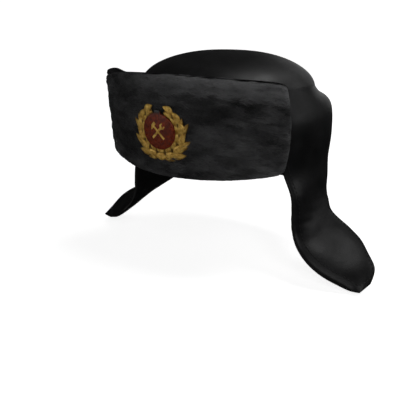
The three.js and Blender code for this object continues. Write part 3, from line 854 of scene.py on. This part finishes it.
def waxed_thread():
    """Black waxed thread with the fine relief of its plies."""
    material, tree, shader = start_material("Waxed thread", Specular_IOR_Level=0.3)
    if tree:
        colour = tones(tree, (0.005, 0.005, 0.005), (0.012, 0.0115, 0.011), 800.0)
        ply = add_node(tree, "TexNoise", {"Scale": 2400.0, "Detail": 2.0})["Fac"]
        finish_surface(tree, shader, colour, (0.5, 0.7, 900.0), ply, (0.4, 0.0001))
    return material


# Settings

def tint(name, default, description):
    """A colour that a user may change."""
    return FloatVectorProperty(
        name=name, description=description, subtype="COLOR", size=3, min=0, max=1, default=default)


def measure(name, default, least, description):
    """A length in metres that a user may change."""
    return FloatProperty(name=name, description=description, unit="LENGTH", default=default, min=least)


class HatSettings(bpy.types.PropertyGroup):
    """Sizes and colours of the hat that a user may change."""

    leather_dark: tint("Leather, dark", (0.0035, 0.0035, 0.0037), "Darkest tone of the black leather")
    leather_light: tint("Leather, light", (0.0075, 0.0075, 0.0078), "Lightest tone of the black leather")
    fur_dark: tint("Fur, roots", (0.006, 0.0062, 0.0065), "Tone of the fur at its roots")
    fur_light: tint("Fur, tips", (0.2, 0.201, 0.204), "Tone of the fur at its tips")
    gilt_dark: tint("Gilt, dark", (0.42, 0.21, 0.03), "Darker tone of the gilt")
    gilt_light: tint("Gilt, light", (0.85, 0.56, 0.13), "Lighter tone of the gilt")
    enamel_dark: tint("Enamel, dark", (0.06, 0.006, 0.001), "Darker tone of the enamel")
    enamel_light: tint("Enamel, light", (0.19, 0.024, 0.004), "Lighter tone of the enamel")
    floor_colour: tint("Floor", (0.82, 0.82, 0.82), "Colour of the floor")
    hair_length: measure("Hair length", 0.013, 0.004, "Length of a hair of the visor's pile")
    hair_width: measure("Hair width", 0.00042, 0.0001, "Width of a hair of the visor's pile")
    hairs_per_lock: IntProperty(
        name="Hairs in a lock", description="Hairs that gather into one lock", default=20, min=3)
    stitch_pitch: measure("Stitch pitch", 0.0042, 0.002, "Distance from stitch to stitch")
    stitch_inset: measure("Stitch inset", 0.0055, 0.002, "Distance of the stitching from the edge")


# Pieces

class HAT_OT_crown(bpy.types.Operator):
    """Builds the domed crown as an open-bottomed leather shell"""

    bl_idname = "hat.crown"
    bl_label = "Crown"

    def execute(self, context):
        sides = 192
        outer = crown_rings(0, 26, 34, sides)
        inner = crown_rings(CROWN["wall"], 20, 26, sides)
        turn = np.radians([30, 60, 90, 120, 150])[:, None, None]
        half = CROWN["wall"] / 2
        middle = (outer[0] + inner[0]) / 2
        outward = (outer[0] - inner[0]) / 2
        lip = middle - np.cos(turn) * outward - np.sin(turn) * (0, 0, 0.6 * half)
        rings = np.concatenate([inner[::-1], lip, outer])
        x, y, z = np.moveaxis(rings, -1, 0)
        wave = smooth(z, 60, 80) * (soft_noise(x / 34 + 9, y / 34 + 9, 5) - 0.5)
        rings[..., 2] += LEATHER["dome_wave"] * wave
        piece = make_piece("crown_leather", rings.reshape(-1, 3), [grid_quads(len(rings), sides, wrap=True)],
                           black_leather(), weld=0.001)
        piece.data.materials.append(flesh_side())
        inside = np.arange(len(piece.data.polygons)) < len(inner) * sides
        piece.data.polygons.foreach_set("material_index", inside.astype(np.int32))
        piece.data.update()
        ride_and_replace(piece, "leather", "crown")
        return {"FINISHED"}


def nearest_on(points, surface, normals):
    """Each point moved onto the tangent plane of the surface's nearest vertex, with that vertex's normal."""
    found = np.concatenate([((part[:, None] - surface[None]) ** 2).sum(-1).argmin(1)
                            for part in np.array_split(points, max(1, len(points) // 40))])
    normal = normals[found]
    return points - normal * ((points - surface[found]) * normal).sum(1)[:, None], normal


def stitch_line():
    """The line of stitching on the +X side: down the front edge, round the tip, up and along behind."""
    inset = hat_settings().stitch_inset / MM
    width = lambda row: through(FLAP_TABLE, row)[..., 3] - through(FLAP_TABLE, row)[..., 2]
    turn_row = FLAP_LAST - 0.75
    down = np.linspace(0.1, turn_row, 90)
    front = flap_side(down, inset / width(down), 1)
    tip = flap_side(np.full(14, FLAP_LAST - 0.62), np.linspace(0.3, 0.74, 14), 1)
    up = np.linspace(turn_row, CROTCH + 0.35, 50)
    back = flap_side(up, 1 - inset / width(up), 1)
    q = np.linspace(0.06, 1, 60)
    low = behind_side(np.full_like(q, CROTCH - 0.42), q, 1)
    return np.concatenate([front, tip, back, low])


class HAT_OT_skirt(bpy.types.Operator):
    """Builds the padded skirt with both ear flaps, and the stitching round their edges"""

    bl_idname = "hat.skirt"
    bl_label = "Skirt and ear flaps"

    def execute(self, context):
        points, faces, inset = skirt_solid()
        tone = {"inset": inset, "edge": np.clip(1 - inset / 2.5, 0, 1)}
        piece = make_piece("ear_neck_flap_leather", points, [faces], soft_leather(), tone=tone)
        subdivide(piece, 2)
        self.crease(piece.data)
        ride_and_replace(piece, "leather", "ear_neck_flap")
        self.stitch(piece)
        return {"FINISHED"}

    def crease(self, mesh):
        """Moves the leather along its normals: ripples at the bend, a soft sag and the pressed seam."""
        where, normals = read_points(mesh)
        x, y, z = where.T
        inset = np.empty(len(where), np.float32)
        mesh.attributes["inset"].data.foreach_get("value", inset)
        folds = np.exp(-(((z + 47) / 13) ** 2)) * smooth(np.abs(x), 96, 102)
        ripple = np.sin(z * 0.62 + y * 0.09 + 2.2 * soft_noise(y / 22, z / 22, 7))
        sag = soft_noise(y / 30 + x / 41 + 20, z / 34 + 20, 8) - 0.5
        seam = np.exp(-(((inset - hat_settings().stitch_inset / MM) / 1.1) ** 2)) * (z < 40)
        move = LEATHER["ripple"] * folds * ripple + LEATHER["sag"] * sag * smooth(inset, 2, 14)
        move = move - LEATHER["seam"] * seam
        write_points(mesh, where + normals * move[:, None])

    def stitch(self, leather):
        """Short bars of thread, each a tapered six-sided rod, at even steps along the line of stitching."""
        surface, normals = read_points(leather.data)
        line, _ = nearest_on(stitch_line(), surface, normals)
        length = np.concatenate([[0], np.cumsum(np.linalg.norm(np.diff(line, axis=0), axis=1))])
        pitch = hat_settings().stitch_pitch / MM
        start = np.arange(1.0, length[-1] - pitch, pitch)
        at = lambda s: np.stack([np.interp(s, length, line[:, k]) for k in range(3)], 1)
        along = np.linspace(0, 1, 5)
        rings = [nearest_on(at(start + share * pitch * 0.72), surface, normals) for share in along]
        direction = rings[-1][0] - rings[0][0]
        direction /= np.linalg.norm(direction, axis=1)[:, None]
        turn = np.arange(6) * TAU / 6
        thick = 0.36 * np.sin(math.pi * np.clip(along, 0.06, 0.94)) ** 0.5
        bars = []
        for (centre, normal), radius, share in zip(rings, thick, along):
            binormal = np.cross(direction, normal)
            lifted = centre + normal * (0.12 + 0.12 * math.sin(math.pi * share))
            bars.append(lifted[:, None] + radius * (np.cos(turn)[None, :, None] * binormal[:, None]
                                                    + np.sin(turn)[None, :, None] * normal[:, None]))
        bars = np.stack(bars, 1)
        parts = [loft(bar[:, ::-1]) for bar in bars] + [loft(bar * (-1, 1, 1)) for bar in bars]
        points, quads, triangles = join_parts(parts)
        thread = make_piece("edge_stitching", points, [quads, triangles], waxed_thread())
        ride_and_replace(thread, "leather")


class HAT_OT_visor(bpy.types.Operator):
    """Builds the turned-up visor: a leather backing and a padded front that carries the fur"""

    bl_idname = "hat.visor"
    bl_label = "Visor"

    def execute(self, context):
        ride_and_replace(self.backing(), "leather", "front_visor")
        ride_and_replace(self.pad(), "fur")
        return {"FINISHED"}

    def backing(self):
        """The whole thickness of the visor, rounded round every edge, its back drawn up at the ends."""
        s = visor_stations(140)
        off, end, top, low = visor_edges(s)
        middle = lerp(VISOR["thick"], VISOR["end_thick"], off**4) / 2
        half = middle * rounded(end, VISOR["edge"])
        edge = VISOR["edge"]
        straight = np.linspace(0, 1, 20)[None, 1:-1]
        over = np.linspace(0, math.pi, 17)[None, :]
        rise = lerp(*VISOR["back_rise"], smooth(off, -0.2, 0.2)) * smooth(np.abs(off), 0.5, 0.82)
        rise = rise * (1 - 0.7 * smooth(np.abs(off), 0.93, 1))
        rise = rise * smooth(over, 0.02 * math.pi, 0.22 * math.pi)
        top_depth, top_z = middle - half * np.cos(over), top - edge + edge * np.sin(over) + rise
        low_depth, low_z = middle + half * np.cos(over), low + edge - edge * np.sin(over)
        front_depth, front_z = middle - half + 0 * straight, lerp(low + edge, top - edge, straight)
        rear_depth = middle + half + 0 * straight
        rear_z = lerp(top_z[:, -1:], low_z[:, :1], straight)
        depth = np.concatenate([front_depth, top_depth, rear_depth, low_depth], 1)
        z = np.concatenate([front_z, top_z, rear_z, low_z], 1)
        covered = visor_face_depth(s, z) + fur_lean(s, z) + 1.8 * rounded(end, edge)
        covered = np.maximum(depth, np.minimum(covered, middle + 0.6 * half))
        raised = smooth(-off, 0.62, 0.82) * (z > top - 1.4)
        depth = np.where(depth < middle, lerp(covered, depth, raised), depth)
        rings = visor_point(s, z, depth)
        points, quads, triangles = loft(rings)
        return make_piece("visor_backing", points, [quads, triangles], black_leather())

    def pad(self):
        """The base of the pile, a slab over the front whose face carries the relief of the locks."""
        s = visor_stations(230)
        _, _, top, low = visor_edges(s)
        z = lerp(low + 0.4, top - 1.2, eased(110)[None, :])
        skin = visor_face_depth(s, z) + fur_lean(s, z)
        face, rear = visor_point(s, z, skin + 1.5 - fur_relief(s, z)), visor_point(s, z, skin + 3.2)
        rings = np.concatenate([face, rear[:, ::-1]], axis=1)
        points, quads, triangles = loft(rings)
        # The tone holds painted light: a painted highlight along the top edge and painted side light
        tone = 0.02 + 0.5 * fur_tone_and_painted_light(self.along(rings), rings[..., 2])
        tone = np.append(tone.reshape(-1), [0.1, 0.1])
        return make_piece("visor_pile_base", points, [quads, triangles], charcoal_fur(), tone={"tone": tone})

    def along(self, places):
        """Length along the visor of each place: its angle round the arc's middle as a share of the arc."""
        _, middle = visor_arc(places[..., 2])
        angle = np.arctan2(places[..., 0], middle - places[..., 1])
        return (angle / VISOR["arc"] + 1) * VISOR_LENGTH / 2


def hair_part(rng, s, z, heading, length, lift, width, tone, sink=0.9):
    """Hairs as three-sided tapered rods that rise from the pile, bend over and lie along it.

    The middle line follows the visor's face at (s, z) + heading * length * u, raised by lift * sin, and the
    rod's radius falls as (1 - u)^0.7 to a point. Each hair has three rings of three points and its tip.
    """
    u = np.array([0.0, 0.3, 0.65, 1.0])[None, :]
    curve = rng.normal(0, 0.22, len(s))[:, None]
    run_s = length[:, None] * (np.cos(heading)[:, None] * u - curve * np.sin(heading)[:, None] * u**2)
    run_z = length[:, None] * (np.sin(heading)[:, None] * u + curve * np.cos(heading)[:, None] * u**2)
    at_s = np.clip(s[:, None] + run_s, 0.6, VISOR_LENGTH - 0.6)
    _, _, top, low = visor_edges(at_s)
    stray = rng.uniform(0, 1.1, len(s))[:, None]
    at_z = np.clip(z[:, None] + run_z, low + 0.6 - stray, top - 0.7 + stray)
    rise = lift[:, None] * np.sin(math.pi * (0.1 + 0.72 * u))
    depth = visor_face_depth(at_s, at_z) + fur_lean(at_s, at_z) + sink - rise - 0.8 * fur_relief(at_s, at_z)
    line = visor_point(at_s, at_z, depth)
    angle = (2 * at_s / VISOR_LENGTH - 1) * VISOR["arc"]
    outward = stack(np.sin(angle), -np.cos(angle), 0 * angle)
    forward = np.gradient(line, axis=1)
    forward /= np.linalg.norm(forward, axis=2)[..., None] + 1e-9
    across = np.cross(forward, outward)
    across /= np.linalg.norm(across, axis=2)[..., None] + 1e-9
    radius = (width[:, None] / 2) * (1 - u) ** 0.7
    turn = (np.arange(3) * TAU / 3 + math.pi / 2)[None, None, :, None]
    rings = line[:, :, None] + radius[..., None, None] * (
        np.cos(turn) * across[:, :, None] + 0.6 * np.sin(turn) * outward[:, :, None])
    body = rings[:, :3].reshape(len(s), 9, 3)
    points = np.concatenate([body, line[:, 3:4]], axis=1)
    base = (np.arange(len(s)) * 10)[:, None, None]
    i = np.arange(3)
    j = (i + 1) % 3
    side = np.concatenate([np.stack([i + 3 * r, j + 3 * r, j + 3 * r + 3, i + 3 * r + 3], 1) for r in (0, 1)])
    tip = np.stack([i + 6, j + 6, np.full(3, 9)], 1)
    ends = np.concatenate([tip, [[0, 2, 1]]])
    paler = np.repeat([0.0, 0.05, 0.11, 0.14], [3, 3, 3, 1])
    shade = np.clip(tone[:, None] * 0.85 + paler, 0, 1).reshape(-1)
    return points.reshape(-1, 3), (base + side).reshape(-1, 4), (base + ends).reshape(-1, 3), shade


class HAT_OT_fur(bpy.types.Operator):
    """Grows the visor's fur: locks of hair laid sideways in overlapping rows"""

    bl_idname = "hat.fur"
    bl_label = "Fur"

    def execute(self, context):
        hat = hat_settings()
        length, width = hat.hair_length / MM, hat.hair_width / MM
        many = lambda values: np.repeat(values, hat.hairs_per_lock)
        for number, (name, lift) in enumerate((("visor_fur_under", 0.9), ("visor_fur_top", 1.5))):
            rng = np.random.default_rng(100 + number)
            lock_s, lock_z = self.lock_places(rng, *PILE["lock_step"])
            lock_heading = rng.normal(-0.06, 0.2, len(lock_s)) + 0.25 * (
                soft_noise(lock_s / 45, lock_z / 30, 21 + number) - 0.5)
            # Lock tone holds painted light: a painted highlight along the top edge and painted side light
            lock_tone = fur_tone_and_painted_light(lock_s, lock_z) + rng.uniform(-0.05, 0.11, len(lock_s))
            spread = rng.uniform(-1, 1, (len(lock_s) * hat.hairs_per_lock, 2)) * PILE["lock_spread"]
            s, z = many(lock_s) + spread[:, 0], many(lock_z) + spread[:, 1]
            heading = many(lock_heading) - 0.55 * spread[:, 1] / length + rng.normal(0, 0.06, len(s))
            hair_length = length * rng.uniform(0.65, 1.15, len(s))
            tone = np.clip(many(lock_tone) + rng.normal(0, 0.045, len(s)), 0, 1)
            lifts = lift * rng.uniform(0.5, 1.4, len(s))
            keep = self.growing(s, z)
            hair_width = width * rng.uniform(0.7, 1.3, len(s))
            values = [v[keep] for v in (s, z, heading, hair_length, lifts, hair_width, tone)]
            points, quads, triangles, shade = hair_part(rng, *values)
            piece = make_piece(name, points, [quads, triangles], charcoal_fur(), tone={"tone": shade})
            ride_and_replace(piece, "fur")
        return {"FINISHED"}

    def lock_places(self, rng, step_s, step_z):
        """Places of the locks on a jittered grid over the whole front."""
        s, z = np.meshgrid(np.arange(-2, VISOR_LENGTH - 3, step_s), np.arange(-8, 91, step_z))
        s = s + (np.arange(s.shape[0]) % 2)[:, None] * step_s / 2
        jitter = rng.uniform(-0.5, 0.5, (2, *s.shape))
        return (s + jitter[0] * step_s).reshape(-1), (z + jitter[1] * step_z).reshape(-1)

    def growing(self, s, z):
        """Hairs that start on the front, and not behind the badge."""
        _, _, top, low = visor_edges(np.clip(s, 0.1, VISOR_LENGTH - 0.1))
        on_front = (s > 0.5) & (s < VISOR_LENGTH - 1) & (z > low + 0.3) & (z < top - 0.8)
        x = s - VISOR_LENGTH / 2
        behind = ((x + 7) / 33) ** 2 + ((z - BADGE["z"]) / 24.5) ** 2 < 1
        return on_front & ~behind


class HAT_OT_badge(bpy.types.Operator):
    """Builds the badge: gilt wreath, rim and emblem on a plate, a red enamel field and a nut behind"""

    bl_idname = "hat.badge"
    bl_label = "Badge"

    def execute(self, context):
        plate = BADGE["plate"]
        rows = [(0.3, 0, 0), (1, 0, 0), (1, 0, plate - 0.3), (1, 0.3, plate), (0.3, 0, plate)]
        parts = [round_plate(plate_reach, rows), *wreath_parts(), self.post_part()]
        points, quads, triangles = join_parts(parts)
        relief = self.relief(points)
        piece = make_piece("badge_wreath", points, [quads, triangles], aged_gilt(), tone={"relief": relief})
        ride_and_replace(piece, "gilt", "badge_metal")
        ride_and_replace(self.emblem(), "gilt")
        top = plate + GAP + BADGE["enamel"]
        rows = [(0.3, 0, plate), (1, 0, plate), (1, 0, top - 0.5), (1, 0.25, top - 0.15), (1, 0.7, top)]
        rows += [(share, 0, top + 0.25 * (1 - share**2)) for share in (0.9, 0.75, 0.5, 0.25, 0.02)]
        points, quads, triangles = round_plate(lambda angle: field_reach(angle, 0), rows)
        tab = smooth((points[:, 2] - BADGE["z"]) - BADGE["disc_half_height"] + 0.6, 0, 0.8)
        enamel = make_piece("badge_field", points, [quads, triangles], red_enamel(), tone={"tab": tab})
        ride_and_replace(enamel, "enamel", "badge_enamel")
        nut = NODES["badge_nut"]
        nut.data.materials.clear()
        nut.data.materials.append(nickelled_steel())
        return {"FINISHED"}

    def relief(self, points):
        """How far a point stands out of the badge's hollows, from 0 to 1."""
        radius, middle = visor_arc(points[:, 2])
        out = np.hypot(points[:, 0], points[:, 1] - middle) - radius - GAP
        return smooth(out, 0.9, 2.0)

    def post_part(self):
        """The straight post behind the badge, a rod along the visor's depth."""
        turn = round_turn(24)[None, :]
        out = np.array([0.6, 0.5, -VISOR["thick"] - 2.6, -VISOR["thick"] - 3])[:, None]
        radius = np.array([1.3, 1.6, 1.6, 1.2])[:, None]
        lean = math.atan(VISOR["lean"])
        x, up = radius * np.cos(turn), radius * np.sin(turn)
        y = -(GAP + out) * math.cos(lean) - up * math.sin(lean)
        z = -(GAP + out) * math.sin(lean) + up * math.cos(lean)
        face = visor_place(np.array(0.0), 0.0, np.array(float(BADGE["z"])))
        return loft(stack(x, y, z) + face)

    def emblem(self):
        """A plain hammer crossed with an open-ended spanner, standing out of the enamel."""
        low, high = BADGE["plate"], BADGE["emblem_top"]
        work = bmesh.new()
        for outline, turn in ((HAMMER, TOOL_TURN), (SPANNER, -TOOL_TURN)):
            rings = prism_part(outline, turn, low, high) * MM
            verts = [[work.verts.new(p) for p in ring] for ring in rings]
            count = len(outline)
            for lower, upper in zip(verts, verts[1:]):
                for i in range(count):
                    j = (i + 1) % count
                    work.faces.new((lower[i], lower[j], upper[j], upper[i]))
            work.faces.new(verts[-1])
            work.faces.new(verts[0][::-1])
        bmesh.ops.triangulate(work, faces=[f for f in work.faces if len(f.verts) > 4])
        bmesh.ops.recalc_face_normals(work, faces=work.faces)
        mesh = bpy.data.meshes.new("badge_emblem")
        work.to_mesh(mesh)
        work.free()
        give_attribute(mesh, "relief", np.ones(len(mesh.vertices)))
        return show_mesh("badge_emblem", mesh, aged_gilt())


# Stage

CAMERA_PLACE = (0.3672, -0.4964, 0.1329)
CAMERA_AZIMUTH = math.radians(38.4)
CAMERA_ELEVATION = math.radians(17.95)
CAMERA_SENSOR = 36
CAMERA_LENS = 576.5 / 420 * CAMERA_SENSOR

# Name, place, height aimed at, size and power of each light
LIGHTS = (
    ("Key", (0.62, 0.2, 1.36), 0.03, 0.8, 8.0),
    ("Front fill", (1.25, -1.35, 0.85), 0.02, 1.0, 10.0),
    ("Left fill", (-1.15, -1.5, 0.12), 0.02, 1.0, 3.3),
    ("Side light", (1.15, 1.05, 0.6), 0.02, 0.8, 2.6),
    ("Back light", (-0.3, 1.7, 0.4), 0.02, 1.0, 1.6),
    ("High back light", (0.5, 1.2, 1.2), 0.03, 0.8, 1.0),
)


def aim_matrix(place, right, up, back):
    """A placing matrix from a place and three unit directions."""
    return Matrix([(right[k], up[k], back[k], place[k]) for k in range(3)] + [(0, 0, 0, 1)])


def soft_light(name, place, aim, size, power):
    """A round area light at a place, facing the point at height aim on the hat's upright axis."""
    data = bpy.data.lights.new(name, "AREA")
    data.shape = "DISK"
    data.size = size
    data.energy = power
    light = bpy.data.objects.new(name, data)
    bpy.context.scene.collection.objects.link(light)
    back = np.array(place, float) - np.array((0, 0, aim), float)
    back /= np.linalg.norm(back)
    right = np.cross((0, 0, 1), back)
    right /= np.linalg.norm(right)
    light.matrix_world = aim_matrix(place, right, np.cross(back, right), back)
    return light


class HAT_OT_stage(bpy.types.Operator):
    """Sets the pale floor, the soft lights and the camera"""

    bl_idname = "hat.stage"
    bl_label = "Stage"

    def execute(self, context):
        self.floor()
        self.lights()
        self.camera()
        return {"FINISHED"}

    def floor(self):
        """A wide round floor whose far edge sweeps up, so that no corner shows from any side."""
        low = CAD_BOX[0][2] / MM - 1.5
        flat, sweep, wall = 4000, 1500, 4000
        turn = np.linspace(0.1, math.pi / 2, 16)
        run = np.concatenate([np.linspace(0, flat, 30), flat + sweep * np.sin(turn), [flat + sweep]])
        rise = np.concatenate([np.zeros(30), sweep * (1 - np.cos(turn)), [wall]])
        angle = round_turn(96)[None, :]
        points = stack(run[:, None] * np.cos(angle), run[:, None] * np.sin(angle), low + rise[:, None])
        piece = make_piece("floor", points.reshape(-1, 3), [grid_quads(len(run), 96, wrap=True)],
                           self.paper(), weld=0.001)
        piece.visible_glossy = False

    def paper(self):
        """Pale paper that shows a little brighter to the eye than the light it throws back."""
        material, tree, shader = start_material(
            "Pale paper", Base_Color=opaque(hat_settings().floor_colour), Roughness=0.9,
            Emission_Color=(1, 1, 1, 1))
        if tree is None:
            return material
        seen = add_node(tree, "LightPath")["Is Camera Ray"]
        where = add_node(tree, "TexCoord")["Object"]
        away = add_node(tree, "VectorMath", {0: where}, operation="LENGTH")["Value"]
        glow = add_node(tree, "MapRange", {
            "Value": away, "From Min": 0.25, "From Max": 1.1, "To Min": 0.82, "To Max": 1.05})[0]
        power = add_node(tree, "Math", {0: seen, 1: glow}, operation="MULTIPLY")[0]
        tree.links.new(power, shader.inputs["Emission Strength"])
        return material

    def lights(self):
        """The soft lights, and a world that the camera sees white and that lights the hat very weakly."""
        for light in LIGHTS:
            soft_light(*light)
        world = bpy.data.worlds.new("Studio")
        world.use_nodes = True
        tree = world.node_tree
        background = tree.nodes["Background"]
        background.inputs["Color"].default_value = (1, 1, 1, 1)
        seen = add_node(tree, "LightPath")["Is Camera Ray"]
        level = add_node(tree, "MapRange", {"Value": seen, "To Min": 0.018, "To Max": 1.05})[0]
        tree.links.new(level, background.inputs["Strength"])
        bpy.context.scene.world = world

    def camera(self):
        """The camera at the photograph's place, angle and lens."""
        scene = bpy.context.scene
        data = bpy.data.cameras.new("Camera")
        data.sensor_width = CAMERA_SENSOR
        data.sensor_fit = "HORIZONTAL"
        data.lens = CAMERA_LENS
        data.clip_start = 0.01
        data.clip_end = 50
        camera = bpy.data.objects.new("Camera", data)
        scene.collection.objects.link(camera)
        ca, sa = math.cos(CAMERA_AZIMUTH), math.sin(CAMERA_AZIMUTH)
        ce, se = math.cos(CAMERA_ELEVATION), math.sin(CAMERA_ELEVATION)
        right, back = (ca, sa, 0), (sa * ce, -ca * ce, se)
        camera.matrix_world = aim_matrix(CAMERA_PLACE, right, np.cross(back, right), back)
        scene.camera = camera
        scene.view_settings.view_transform = "Standard"


class HAT_PT_panel(bpy.types.Panel):
    """Lists the hat's settings and the steps that build it"""

    bl_label = "Winter hat"
    bl_idname = "HAT_PT_panel"
    bl_space_type = "VIEW_3D"
    bl_region_type = "UI"
    bl_category = "Hat"

    def draw(self, context):
        """Shows every setting, and then one button for each step."""
        for key in HatSettings.__annotations__:
            self.layout.prop(context.scene.winter_hat, key)
        for step in STEPS:
            self.layout.operator(step.bl_idname)


STEPS = (HAT_OT_stage, HAT_OT_crown, HAT_OT_skirt, HAT_OT_visor, HAT_OT_fur, HAT_OT_badge)
CLASSES = (HatSettings, *STEPS, HAT_PT_panel)


def register():
    """Adds the hat's settings, steps and panel to Blender."""
    for cls in CLASSES:
        bpy.utils.register_class(cls)
    bpy.types.Scene.winter_hat = PointerProperty(type=HatSettings)


def unregister():
    """Takes them away again."""
    del bpy.types.Scene.winter_hat
    for cls in reversed(CLASSES):
        bpy.utils.unregister_class(cls)


def main():
    """Builds the whole scene."""
    register()
    bpy.ops.hat.stage()
    bpy.ops.hat.crown()
    bpy.ops.hat.skirt()
    bpy.ops.hat.visor()
    bpy.ops.hat.fur()
    bpy.ops.hat.badge()


if __name__ == "__main__":
    main()
